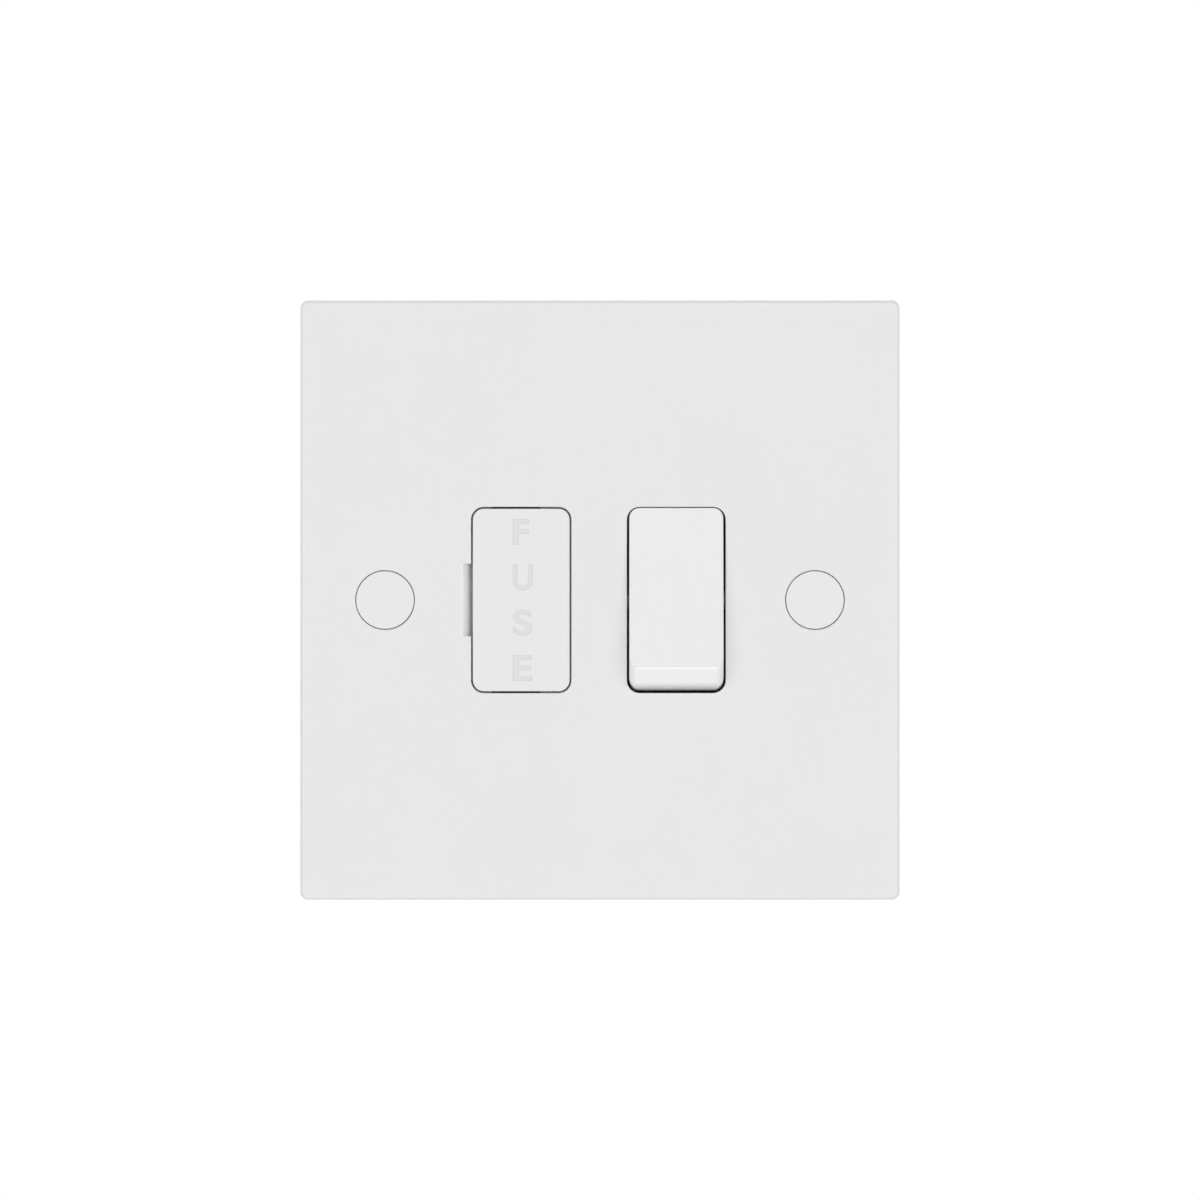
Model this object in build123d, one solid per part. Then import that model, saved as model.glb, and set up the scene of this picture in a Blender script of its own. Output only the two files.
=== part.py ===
from build123d import *
import math
import os

# Switched fused spur unit for a single wall box. Millimetres. X runs right and Z up as seen from
# the front, Y runs into the wall, and the wall plane is y = 0.

# Front plate
PLATE_SIDE = 84.2
PLATE_DEPTH = 8.5
PLATE_SKIN = 2.4
PLATE_RIM = 2.2
PLATE_CORNER_R = 1.15
PLATE_EDGE_R = 0.7
PLATE_DRAFT = 0.3
RIM_WEB_THICK = 1.2

# Wall fixings and their push-in covers
FIXING_CENTRES = 60.3
FIXING_HOLE_D = 4.2
FIXING_HEAD_D = 7.4
FIXING_FLOOR = 2.6
PILLAR_WALL = 1.4
COVER_LEDGE = 0.36
COVER_GAP = 0.11
COVER_THICK = 1.8
COVER_WALL = 0.9
COVER_EDGE_R = 0.15

# Fuse link
FUSE_LENGTH = 25.4
FUSE_D = 6.35
FUSE_BODY_D = 5.9
FUSE_CAP_LENGTH = 6.2
FUSE_CAP_END = 0.4
FUSE_CAP_EDGE_R = 0.3
FUSE_CAP_CLEARANCE = 0.02

# The two apertures in the plate and the collars behind them
CARRIER_X = -11.05
ROCKER_X = 10.7
CARRIER_OPENING_WIDTH = 14.08
ROCKER_OPENING_WIDTH = 13.85
FUSE_END_ROOM = 0.36
OPENING_CORNER_R = 1.8
OPENING_EDGE_R = 0.12
COLLAR_WALL = 1.2
COLLAR_LENGTH = 3.7

# Fuse carrier
CARRIER_GAP = 0.26
CARRIER_FLANGE = 2.0
CARRIER_EDGE_R = 0.12
CARRIER_SEAT_GAP = 0.05
LEDGE_WIDTH = 0.8
LEDGE_THICK = 1.5
FUSE_OFFSET = -0.72
FUSE_FRONT_GAP = 0.3
FUSE_WINDOW_GAP = 0.26
CRADLE_HALF_HEIGHT = 5.6
CRADLE_GAP = 0.1
CRADLE_WRAP = 1.6
CRADLE_JAW = 1.3
GUIDE_GAP = 0.15
TAIL_THICK = 1.3
TAIL_HALF_HEIGHT = 2.5
HOOK_LENGTH = 1.1
HOOK_FLOOR_GAP = 0.15
HOOK_SIDE_GAP = 0.19
SCOOP_WIDTH = 1.5
SCOOP_DEPTH = 1.6
SCOOP_LEAD = 0.08
SCOOP_LENGTH = 10.2

# Rocker of the switch
ROCKER_GAP = 0.325
ROCKER_TILT = 7.0
ROCKER_TOP_GAP = 0.1
ROCKER_END_GAP = 0.3
ROCKER_NOSE_HEIGHT = 2.65
ROCKER_NOSE_ANGLE = 30.7
ROCKER_SKIRT = 1.6
ROCKER_WALL = 1.5
ROCKER_CORNER_R = 1.45
ROCKER_EDGE_R = 0.2
ROCKER_TOE_R = 1.0
ROCKER_RIB = 1.0
PIVOT_DEPTH = 3.0
PIN_D = 2.6
PIN_CLEARANCE = 0.06
PIN_END_GAP = 0.1
TONGUE_SIDE_GAP = 0.05
TONGUE_BACKSET = 0.4

# Spring plungers, one for each pole
PLUNGER_D = 3.1
PLUNGER_CLEARANCE = 0.1
PLUNGER_REACH = 11.5
PLUNGER_LENGTH = 8.0
PLUNGER_TAIL_D = 1.5
PLUNGER_TAIL_LENGTH = 2.0
TUBE_WALL = 0.75
TUBE_REACH = 7.0
SPRING_POCKET = 1.2
SPRING_WIRE_D = 0.45
SPRING_MEAN_D = 2.55
SPRING_TURNS = 4.5
SPRING_END_GAP = 0.03

# Rocking contact levers on knife edges
CONTACT_TILT = 6.0
CONTACT_THICK = 1.0
CONTACT_WIDTH = 4.0
CONTACT_UPPER = 9.3
CONTACT_LOWER = 9.0
CONTACT_CORNER_R = 0.8
PLUNGER_CONTACT_GAP = 0.1
KNIFE_THICK = 1.2
KNIFE_WIDTH = 3.8
KNIFE_HEIGHT = 1.9
KNIFE_CLEARANCE = 0.06
KNIFE_STANDOFF = 0.3
TIP_D = 2.8
TIP_HEIGHT = 0.7
TIP_EDGE_R = 0.25
TIP_Z = 7.5
TIP_TOUCH_GAP = 0.05

# Brass strips on the floor of the base
STRIP_THICK = 0.8
STRIP_WIDTH = 3.0
SIDE_STRIP_WIDTH = 2.2
STRIP_SIDE_GAP = 0.12
STRIP_TOP_GAP = 0.15
STRIP_END_ROOM = 0.3

# Fuse clips
CLIP_GAP = 0.08
CLIP_THICK = 0.6
CLIP_END_INSET = 0.5
CLIP_LENGTH = 4.8
CLIP_BEND_R = 1.0
CLIP_ARM_FRONT = 1.0
CLIP_LIP_LENGTH = 0.9
CLIP_LIP_FLARE = 0.45
CLIP_LEG_WIDTH = 3.0
CLIP_PAD = 0.8
PEDESTAL_WIDTH = 4.0
PEDESTAL_GAP = 0.4

# Terminals and their screws
TERMINAL_PITCH = 18.5
TERMINAL_WIDTH = 7.0
TERMINAL_DEPTH = 8.0
TERMINAL_LENGTH = 9.0
TERMINAL_FRONT = 3.8
TERMINAL_CHAMFER = 0.4
WIRE_BORE_R = 2.3
WIRE_BORE_DEPTH = 7.0
WIRE_BORE_FRONT = 3.2
CLAMP_SCREW_D = 3.5
CLAMP_SCREW_CLEARANCE = 0.02
CLAMP_TIP_GAP = 0.1
CLAMP_SHOW = 1.0
CLAMP_HEAD_D = 5.6
CLAMP_HEAD_HEIGHT = 1.8
SLOT_WIDTH = 0.9
SLOT_DEPTH = 1.0
HEAD_EDGE_R = 0.4

# Moulded base
BASE_WALL = 1.9
BASE_END_WALL = 2.3
BASE_LIP = 2.0
BASE_REAR_LIP = 1.5
BASE_FLOOR = 1.9
BASE_CORNER_R = 2.0
BASE_EDGE_R = 0.5
BAY_CLEARANCE = 0.1
BAY_FLOOR = 1.4
BAY_RIB = 1.2
BARRIER_THICK = 1.2
BARRIER_HEIGHT = 6.0
STOP_WIDTH = 1.4
STOP_INSET = 0.6
STOP_GAP = 0.1
LUG_RELIEF_GAP = 0.8

# Screws that hold the base to the plate
BASE_SCREW_D = 2.9
BASE_SCREW_CLEARANCE = 0.02
BASE_SCREW_HOLE_GAP = 0.1
BASE_SCREW_HEAD_D = 5.4
BASE_SCREW_HEAD_HEIGHT = 1.9
BASE_SCREW_SINK = 2.1
BASE_SCREW_HEAD_GAP = 0.3
BASE_SCREW_TIP_GAP = 0.2
BASE_BOSS_WALL = 1.6
PILOT_FLOOR = 0.4

# How near to a face an edge or corner counts as lying on it
FACE_TOLERANCE = 0.02

# Places that follow from the sizes above
FRONT_Y = -PLATE_DEPTH
SKIN_REAR_Y = FRONT_Y + PLATE_SKIN
SKIN_MID_Y = FRONT_Y + PLATE_SKIN / 2
BASE_FRONT_Y = SKIN_REAR_Y + COLLAR_LENGTH
COVER_D = FIXING_HEAD_D + 2 * COVER_LEDGE
COVER_RECESS_D = COVER_D + 2 * COVER_GAP
PILLAR_R = COVER_RECESS_D / 2 + PILLAR_WALL
FIXING_X = FIXING_CENTRES / 2
OPENING_HEIGHT = FUSE_LENGTH + 2 * FUSE_END_ROOM
OPENING_HALF = OPENING_HEIGHT / 2

LEDGE_FRONT_Y = FRONT_Y + CARRIER_FLANGE + CARRIER_SEAT_GAP
LEDGE_REAR_Y = LEDGE_FRONT_Y + LEDGE_THICK
CARRIER_WIDTH = CARRIER_OPENING_WIDTH - 2 * CARRIER_GAP
CARRIER_HEIGHT = OPENING_HEIGHT - 2 * CARRIER_GAP
CARRIER_LEFT_X = CARRIER_X - CARRIER_OPENING_WIDTH / 2
CARRIER_RIGHT_X = CARRIER_X + CARRIER_OPENING_WIDTH / 2
FLANGE_REAR_Y = FRONT_Y + CARRIER_FLANGE
FUSE_X = CARRIER_X + FUSE_OFFSET
FUSE_Y = FLANGE_REAR_Y + FUSE_FRONT_GAP + FUSE_D / 2

ROCKER_WIDTH = ROCKER_OPENING_WIDTH - 2 * ROCKER_GAP
POLE_OFFSET = ROCKER_WIDTH / 4
ROCKER_LEFT_X = ROCKER_X - ROCKER_OPENING_WIDTH / 2
ROCKER_RIGHT_X = ROCKER_X + ROCKER_OPENING_WIDTH / 2
PIVOT_Y = FRONT_Y + PIVOT_DEPTH
PIN_R = PIN_D / 2
PIN_BORE_R = PIN_R + PIN_CLEARANCE
ROCKER_END_R = OPENING_HALF - ROCKER_END_GAP
LIVE_X = ROCKER_X - POLE_OFFSET
NEUTRAL_X = ROCKER_X + POLE_OFFSET

CONTACT_AXIS_Y = PIVOT_Y + PLUNGER_REACH + PLUNGER_CONTACT_GAP + CONTACT_THICK + KNIFE_STANDOFF
STRIP_Y = CONTACT_AXIS_Y + KNIFE_HEIGHT
FLOOR_Y = STRIP_Y + STRIP_THICK
HOOK_REAR_Y = STRIP_Y - HOOK_FLOOR_GAP
CLIP_INNER_Y = FUSE_Y + FUSE_D / 2 + CLIP_GAP
CLIP_REAR_Y = CLIP_INNER_Y + CLIP_THICK
CLIP_OUTER_Z = FUSE_LENGTH / 2 - CLIP_END_INSET
CLIP_INNER_Z = CLIP_OUTER_Z - CLIP_LENGTH

TERMINAL_FRONT_Y = STRIP_Y - TERMINAL_FRONT
TERMINAL_REAR_Y = TERMINAL_FRONT_Y + TERMINAL_DEPTH
WIRE_BORE_Y = TERMINAL_FRONT_Y + WIRE_BORE_FRONT
BAY_Z = OPENING_HALF + BASE_END_WALL
TERMINAL_Z = BAY_Z + BAY_CLEARANCE
TERMINAL_END_Z = TERMINAL_Z + TERMINAL_LENGTH
TERMINAL_MID_Z = TERMINAL_Z + TERMINAL_LENGTH / 2
BAY_HALF_WIDTH = TERMINAL_WIDTH / 2 + BAY_CLEARANCE
BASE_HALF_WIDTH = TERMINAL_PITCH + BAY_HALF_WIDTH + BASE_WALL
BASE_HALF_HEIGHT = TERMINAL_END_Z + BASE_LIP
BASE_REAR_Y = TERMINAL_REAR_Y + BASE_REAR_LIP
CLAMP_TIP_Y = WIRE_BORE_Y + WIRE_BORE_R + CLAMP_TIP_GAP
CLAMP_HEAD_Y = TERMINAL_REAR_Y + CLAMP_SHOW

SCREW_X = TERMINAL_PITCH / 2
SCREW_Z = (BAY_Z + BASE_HALF_HEIGHT) / 2
BASE_BOSS_R = BASE_SCREW_D / 2 + BASE_BOSS_WALL
SCREW_HEAD_Y = BASE_REAR_Y - BASE_SCREW_SINK
PILOT_Y = SKIN_REAR_Y + PILOT_FLOOR

LEFT_CELL = (-BASE_HALF_WIDTH + BASE_WALL, CARRIER_LEFT_X - COLLAR_WALL)
FUSE_CELL = (CARRIER_LEFT_X, CARRIER_RIGHT_X)
MIDDLE_CELL = (CARRIER_RIGHT_X + COLLAR_WALL, ROCKER_LEFT_X - COLLAR_WALL)
SWITCH_CELL = (ROCKER_LEFT_X, ROCKER_RIGHT_X)
RIGHT_CELL = (ROCKER_RIGHT_X + COLLAR_WALL, BASE_HALF_WIDTH - BASE_WALL)
EARTH_STRIP_X = sum(LEFT_CELL) / 2
MIDDLE_STRIP_X = sum(MIDDLE_CELL) / 2
NEUTRAL_STRIP_X = sum(RIGHT_CELL) / 2
TERMINAL_ROW = (-TERMINAL_PITCH, 0, TERMINAL_PITCH)


def slab(sketch, start_y, end_y, taper=0):
    """Solid of a front-view sketch (X, Z) between two depths."""
    return extrude(Plane.XZ.offset(-start_y) * sketch, amount=start_y - end_y, taper=taper)


def rect(left, right, low, high):
    """Front-view rectangle from its four sides."""
    return Pos((left + right) / 2, (low + high) / 2) * Rectangle(right - left, high - low)


def disc(x, z, radius):
    """Front-view circle."""
    return Pos(x, z) * Circle(radius)


def opening(x, width, height, corner):
    """Front-view rounded rectangle centred at height zero."""
    return Pos(x, 0) * RectangleRounded(width, height, corner)


def bar_x(left, right, y, z, radius):
    """Round bar along X."""
    return extrude(Plane.YZ.offset(left) * (Pos(y, z) * Circle(radius)), amount=right - left)


def bar_z(x, y, low, high, radius):
    """Round bar along Z."""
    return extrude(Plane.XY.offset(low) * (Pos(x, y) * Circle(radius)), amount=high - low)


def prism_z(profile, low, high):
    """Solid of a plan-view profile (X, Y) between two heights."""
    return extrude(Plane.XY.offset(low) * profile, amount=high - low)


def front_edges(part, x, half_width):
    """Edges of an aperture where it meets the front face."""
    found = []
    for edge in part.edges():
        box = edge.bounding_box()
        flat = max(abs(box.min.Y - FRONT_Y), abs(box.max.Y - FRONT_Y)) < FACE_TOLERANCE
        near = box.min.X > x - half_width and box.max.X < x + half_width
        if flat and near:
            found.append(edge)
    return found


def screw_sites():
    """Places of the screws between base and plate."""
    return [(x, z) for x in (-SCREW_X, SCREW_X) for z in (-SCREW_Z, SCREW_Z)]


def scoop():
    """Cut for a rounded shoulder beside the fuse carrier, where a screwdriver blade goes in."""
    start = (CARRIER_LEFT_X - SCOOP_WIDTH, FRONT_Y)
    bend = (CARRIER_LEFT_X - SCOOP_WIDTH / 2, FRONT_Y + SCOOP_LEAD)
    end = (CARRIER_LEFT_X, FRONT_Y + SCOOP_DEPTH)
    shoulder = Bezier(start, bend, end)
    profile = make_face(shoulder + Polyline(end, (CARRIER_LEFT_X, FRONT_Y), start))
    return prism_z(profile, -SCOOP_LENGTH / 2, SCOOP_LENGTH / 2)


def front_plate():
    """Moulded plate with apertures, collars, fixing pillars and screw bosses."""
    plate = slab(RectangleRounded(PLATE_SIDE, PLATE_SIDE, PLATE_CORNER_R), 0, FRONT_Y, PLATE_DRAFT)
    plate = fillet(plate.faces().sort_by(Axis.Y)[0].edges(), PLATE_EDGE_R)
    inner = PLATE_SIDE - 2 * PLATE_RIM
    plate -= slab(RectangleRounded(inner, inner, PLATE_CORNER_R), 0, SKIN_REAR_Y, PLATE_DRAFT)

    for x, width in ((CARRIER_X, CARRIER_OPENING_WIDTH), (ROCKER_X, ROCKER_OPENING_WIDTH)):
        outside = opening(x, width + 2 * COLLAR_WALL, OPENING_HEIGHT + 2 * COLLAR_WALL, OPENING_CORNER_R)
        plate += slab(outside, SKIN_MID_Y, BASE_FRONT_Y)
    for x, z in screw_sites():
        plate += slab(disc(x, z, BASE_BOSS_R), SKIN_MID_Y, BASE_FRONT_Y)
        plate -= slab(disc(x, z, BASE_SCREW_D / 2 + BASE_SCREW_CLEARANCE), PILOT_Y, BASE_FRONT_Y)
    for side in (-1, 1):
        x = side * FIXING_X
        rim_middle = side * (PLATE_SIDE - PLATE_RIM) / 2
        web = rect(*sorted((x, rim_middle)), -RIM_WEB_THICK / 2, RIM_WEB_THICK / 2)
        plate += slab(web, SKIN_MID_Y, BASE_FRONT_Y)
        plate += slab(disc(x, 0, PILLAR_R), SKIN_MID_Y, 0)
        plate -= slab(disc(x, 0, COVER_RECESS_D / 2), FRONT_Y, FRONT_Y + COVER_THICK)
        plate -= slab(disc(x, 0, FIXING_HEAD_D / 2), FRONT_Y, -FIXING_FLOOR)
        plate -= slab(disc(x, 0, FIXING_HOLE_D / 2), FRONT_Y, 0)

    pocket = opening(CARRIER_X, CARRIER_OPENING_WIDTH, OPENING_HEIGHT, OPENING_CORNER_R)
    plate -= slab(pocket, FRONT_Y, LEDGE_FRONT_Y)
    plate -= slab(pocket, LEDGE_REAR_Y, BASE_FRONT_Y)
    throat_width = CARRIER_OPENING_WIDTH - 2 * LEDGE_WIDTH
    throat = opening(CARRIER_X, throat_width, OPENING_HEIGHT - 2 * LEDGE_WIDTH, OPENING_CORNER_R)
    plate -= slab(throat, LEDGE_FRONT_Y, LEDGE_REAR_Y)
    window_half = FUSE_D / 2 + FUSE_WINDOW_GAP
    window = rect(FUSE_X - window_half, FUSE_X + window_half, -OPENING_HALF, OPENING_HALF)
    plate -= slab(window, LEDGE_FRONT_Y, LEDGE_REAR_Y)

    hole = opening(ROCKER_X, ROCKER_OPENING_WIDTH, OPENING_HEIGHT, OPENING_CORNER_R)
    plate -= slab(hole, FRONT_Y, BASE_FRONT_Y)
    for left in (ROCKER_LEFT_X - COLLAR_WALL, ROCKER_RIGHT_X):
        plate -= bar_x(left, left + COLLAR_WALL, PIVOT_Y, 0, PIN_BORE_R)
        slot = rect(left, left + COLLAR_WALL, -PIN_BORE_R, PIN_BORE_R)
        plate -= slab(slot, PIVOT_Y, BASE_FRONT_Y)

    for x, width in ((CARRIER_X, CARRIER_OPENING_WIDTH), (ROCKER_X, ROCKER_OPENING_WIDTH)):
        plate = fillet(front_edges(plate, x, width / 2 + COLLAR_WALL), OPENING_EDGE_R)
    for x in (-FIXING_X, FIXING_X):
        plate = fillet(front_edges(plate, x, PILLAR_R), COVER_EDGE_R)
    return plate - scoop()


def screw_cover(x):
    """Push-in cover: a shallow cup that sits on the ledge over the screw head."""
    cover = slab(disc(x, 0, COVER_D / 2), FRONT_Y, FRONT_Y + COVER_THICK)
    cover = fillet(cover.faces().sort_by(Axis.Y)[0].edges(), COVER_EDGE_R)
    return cover - slab(disc(x, 0, COVER_D / 2 - COVER_WALL), FRONT_Y + COVER_WALL, FRONT_Y + COVER_THICK)


def fuse_carrier():
    """Pull-out drawer: flush flange, snap-in cradle for the fuse and a tail with a stop hook."""
    corner = OPENING_CORNER_R - CARRIER_GAP
    carrier = slab(opening(CARRIER_X, CARRIER_WIDTH, CARRIER_HEIGHT, corner), FRONT_Y, FLANGE_REAR_Y)
    carrier = fillet(carrier.faces().sort_by(Axis.Y)[0].edges(), CARRIER_EDGE_R)

    right = CARRIER_RIGHT_X - LEDGE_WIDTH - GUIDE_GAP
    rear = FUSE_Y + FUSE_BODY_D / 2 + CRADLE_GAP + CRADLE_JAW
    cradle = rect(FUSE_X - CRADLE_WRAP, right, -CRADLE_HALF_HEIGHT, CRADLE_HALF_HEIGHT)
    carrier += slab(cradle, FRONT_Y + CARRIER_FLANGE / 2, rear)
    bed_r = FUSE_BODY_D / 2 + CRADLE_GAP
    carrier -= bar_z(FUSE_X, FUSE_Y, -CRADLE_HALF_HEIGHT, CRADLE_HALF_HEIGHT, bed_r)

    tail = rect(right - TAIL_THICK, right, -TAIL_HALF_HEIGHT, TAIL_HALF_HEIGHT)
    carrier += slab(tail, FUSE_Y, HOOK_REAR_Y)
    hook = rect(right - TAIL_THICK, CARRIER_RIGHT_X - HOOK_SIDE_GAP, -TAIL_HALF_HEIGHT, TAIL_HALF_HEIGHT)
    return carrier + slab(hook, HOOK_REAR_Y - HOOK_LENGTH, HOOK_REAR_Y)


def fuse_body():
    """Ceramic body of the fuse link."""
    half = FUSE_LENGTH / 2 - FUSE_CAP_END
    return bar_z(FUSE_X, FUSE_Y, -half, half, FUSE_BODY_D / 2)


def fuse_cap(side):
    """End cap of the fuse link, a drawn cup."""
    end = FUSE_LENGTH / 2
    cap = bar_z(FUSE_X, FUSE_Y, end - FUSE_CAP_LENGTH, end, FUSE_D / 2)
    cap = fillet(cap.edges().group_by(Axis.Z)[-1], FUSE_CAP_EDGE_R)
    inside = FUSE_BODY_D / 2 + FUSE_CAP_CLEARANCE
    cap -= bar_z(FUSE_X, FUSE_Y, end - FUSE_CAP_LENGTH, end - FUSE_CAP_END, inside)
    if side > 0:
        return cap
    return mirror(cap, Plane.XY)


def rocker_form(inset, skirt):
    """Rocker outline about its pivot, level, drawn in by an inset."""
    turn = math.radians(ROCKER_TILT)
    rest_z = OPENING_HALF - ROCKER_TOP_GAP
    face = rest_z * math.sin(turn) + PIVOT_DEPTH * math.cos(turn)
    top = rest_z * math.cos(turn) - PIVOT_DEPTH * math.sin(turn) - inset
    nose = math.radians(ROCKER_NOSE_ANGLE)
    end = ROCKER_END_R - inset
    ridge = -ROCKER_END_R + ROCKER_NOSE_HEIGHT + inset * math.tan(nose / 2)
    front = inset - face
    low = -end - ROCKER_WALL
    corners = [
        (front, top),
        (front, ridge),
        (front + (ridge - low) * math.tan(nose), low),
        (skirt, low),
        (skirt, top),
    ]
    half = ROCKER_WIDTH / 2 - inset
    form = extrude(Plane.YZ * make_face(Polyline(*corners, close=True)), amount=half, both=True)
    swing = bar_x(-half, half, 0, 0, end)
    upper = extrude(Plane.YZ * rect(front, skirt, 0, top), amount=half, both=True)
    form = form & (swing + upper)
    outline = Pos(0, (top - end) / 2) * RectangleRounded(2 * half, top + end, ROCKER_CORNER_R)
    return form & slab(outline, front, skirt), front


def rocker():
    """Hollow rocker with two plunger tubes and two pivot pins."""
    body, front = rocker_form(0, ROCKER_SKIRT)
    nose = body.faces().filter_by(GeomType.PLANE).sort_by(Axis.Y)[1]
    straight = nose.edges().filter_by(GeomType.LINE).sort_by(Axis.Z)
    toe = nose.edges().filter_by(GeomType.ELLIPSE) + straight[:1]
    body = fillet(toe, ROCKER_TOE_R)
    body = fillet(body.faces().sort_by(Axis.Y)[0].edges(), ROCKER_EDGE_R)
    hollow, hollow_front = rocker_form(ROCKER_WALL, ROCKER_SKIRT)
    body -= hollow
    root_y = (front + hollow_front) / 2
    spine = column(0, ROCKER_RIB, -ROCKER_END_R + ROCKER_NOSE_HEIGHT, ROCKER_END_R - ROCKER_WALL)
    body += slab(spine, root_y, 0)
    reach = ROCKER_OPENING_WIDTH / 2 + COLLAR_WALL - PIN_END_GAP
    inner = ROCKER_WIDTH / 2 - ROCKER_WALL
    body += bar_x(inner, reach, 0, 0, PIN_R)
    body += bar_x(-reach, -inner, 0, 0, PIN_R)
    bore_r = PLUNGER_D / 2 + PLUNGER_CLEARANCE
    for x in (-POLE_OFFSET, POLE_OFFSET):
        body += slab(disc(x, 0, bore_r + TUBE_WALL), root_y, TUBE_REACH)
        body -= slab(disc(x, 0, bore_r), -SPRING_POCKET, TUBE_REACH)
    return at_rocker(body)


def at_rocker(part):
    """Set a piece drawn about the level pivot into the switched-off position."""
    return Pos(ROCKER_X, PIVOT_Y, 0) * Rot(-ROCKER_TILT, 0, 0) * part


def plunger(x):
    """Plunger with a round nose and a tail that centres the spring."""
    radius = PLUNGER_D / 2
    shoulder = PLUNGER_REACH - PLUNGER_LENGTH
    pin = slab(disc(x, 0, radius), shoulder, PLUNGER_REACH - radius)
    pin += Pos(x, PLUNGER_REACH - radius, 0) * Sphere(radius)
    pin += slab(disc(x, 0, PLUNGER_TAIL_D / 2), shoulder - PLUNGER_TAIL_LENGTH, shoulder)
    return at_rocker(pin)


def plunger_spring(x):
    """Coil spring between the bottom of the tube and the plunger."""
    start = -SPRING_POCKET + SPRING_END_GAP + SPRING_WIRE_D / 2
    end = PLUNGER_REACH - PLUNGER_LENGTH - SPRING_END_GAP - SPRING_WIRE_D / 2
    length = end - start
    path = Helix(length / SPRING_TURNS, length, SPRING_MEAN_D / 2)
    wire = Plane(origin=path @ 0, z_dir=path % 0) * Circle(SPRING_WIRE_D / 2)
    coil = sweep(wire, path, is_frenet=True)
    return at_rocker(Pos(x, start, 0) * Rot(-90, 0, 0) * coil)


def at_contact(part, x):
    """Set a piece drawn about the level knife edge into the switched-off position."""
    return Pos(x, CONTACT_AXIS_Y, 0) * Rot(CONTACT_TILT, 0, 0) * part


def moving_contact(x):
    """Rocking lever with a groove that sits on the knife edge."""
    outline = RectangleRounded(CONTACT_WIDTH, CONTACT_UPPER + CONTACT_LOWER, CONTACT_CORNER_R)
    outline = Pos(0, (CONTACT_UPPER - CONTACT_LOWER) / 2) * outline
    lever = slab(outline, -KNIFE_STANDOFF - CONTACT_THICK, -KNIFE_STANDOFF)
    groove_r = KNIFE_THICK / 2 + KNIFE_CLEARANCE
    lever -= bar_x(-CONTACT_WIDTH / 2, CONTACT_WIDTH / 2, 0, 0, groove_r)
    return at_contact(lever, x)


def moving_tip(x):
    """Silver tip on the rear of the rocking lever."""
    tip = slab(disc(0, TIP_Z, TIP_D / 2), -KNIFE_STANDOFF, -KNIFE_STANDOFF + TIP_HEIGHT)
    tip = fillet(tip.faces().sort_by(Axis.Y)[-1].edges(), TIP_EDGE_R)
    return at_contact(tip, x)


def fixed_tip(x):
    """Silver tip on the fixed contact, where the rocking lever lands."""
    turn = math.radians(CONTACT_TILT)
    landing = (TIP_HEIGHT - KNIFE_STANDOFF) * math.cos(turn) + (TIP_Z + TIP_D / 2) * math.sin(turn)
    front = CONTACT_AXIS_Y + landing + TIP_TOUCH_GAP
    tip = slab(disc(x, TIP_Z, TIP_D / 2), front, STRIP_Y)
    return fillet(tip.faces().sort_by(Axis.Y)[0].edges(), TIP_EDGE_R)


def column(x, width, low, high):
    """Upright run of strip."""
    return rect(x - width / 2, x + width / 2, low, high)


def supply_live_run():
    """Front view of the supply live strip."""
    top = OPENING_HALF - STRIP_END_ROOM
    low = TIP_Z - STRIP_WIDTH / 2
    half = STRIP_WIDTH / 2
    run = column(LIVE_X, STRIP_WIDTH, low, top)
    run += rect(MIDDLE_STRIP_X - half, LIVE_X + half, top - STRIP_WIDTH, top)
    return run + column(MIDDLE_STRIP_X, STRIP_WIDTH, top - STRIP_WIDTH, TERMINAL_Z)


def supply_neutral_run():
    """Front view of the supply neutral strip."""
    top = OPENING_HALF - STRIP_END_ROOM
    low = TIP_Z - STRIP_WIDTH / 2
    run = column(NEUTRAL_X, STRIP_WIDTH, low, top)
    end = NEUTRAL_STRIP_X + SIDE_STRIP_WIDTH / 2
    run += rect(NEUTRAL_X - STRIP_WIDTH / 2, end, top - STRIP_WIDTH, top)
    return run + column(NEUTRAL_STRIP_X, SIDE_STRIP_WIDTH, top - STRIP_WIDTH, TERMINAL_Z)


def live_link_run():
    """Front view of the link from the live knife edge to the upper fuse clip."""
    half = STRIP_WIDTH / 2
    run = rect(FUSE_X - half, LIVE_X + KNIFE_WIDTH / 2, -half, half)
    return run + column(FUSE_X, STRIP_WIDTH, -half, CLIP_INNER_Z + CLIP_PAD)


def load_live_run():
    """Front view of the strip from the lower fuse clip to the load live terminal."""
    low = -CLIP_INNER_Z - CLIP_PAD
    half = STRIP_WIDTH / 2
    run = rect(FUSE_X - half, MIDDLE_STRIP_X + half, low, low + STRIP_WIDTH)
    return run + column(MIDDLE_STRIP_X, STRIP_WIDTH, -TERMINAL_Z, low + STRIP_WIDTH)


def load_neutral_run():
    """Front view of the strip from the neutral knife edge to the load neutral terminal."""
    half = STRIP_WIDTH / 2
    end = NEUTRAL_STRIP_X + SIDE_STRIP_WIDTH / 2
    run = rect(NEUTRAL_X - KNIFE_WIDTH / 2, end, -half, half)
    return run + column(NEUTRAL_STRIP_X, SIDE_STRIP_WIDTH, -TERMINAL_Z, half)


def earth_run():
    """Front view of the strap between the two earth terminals."""
    return column(EARTH_STRIP_X, SIDE_STRIP_WIDTH, -TERMINAL_Z, TERMINAL_Z)


def strip(run):
    """Brass strip lying on the floor of the base."""
    return slab(run, STRIP_Y, FLOOR_Y)


def knife_edge(x):
    """Upright tab with a rounded edge that carries a rocking lever."""
    half = KNIFE_THICK / 2
    tab = slab(rect(x - KNIFE_WIDTH / 2, x + KNIFE_WIDTH / 2, -half, half), CONTACT_AXIS_Y, FLOOR_Y)
    return tab + bar_x(x - KNIFE_WIDTH / 2, x + KNIFE_WIDTH / 2, CONTACT_AXIS_Y, 0, half)


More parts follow.
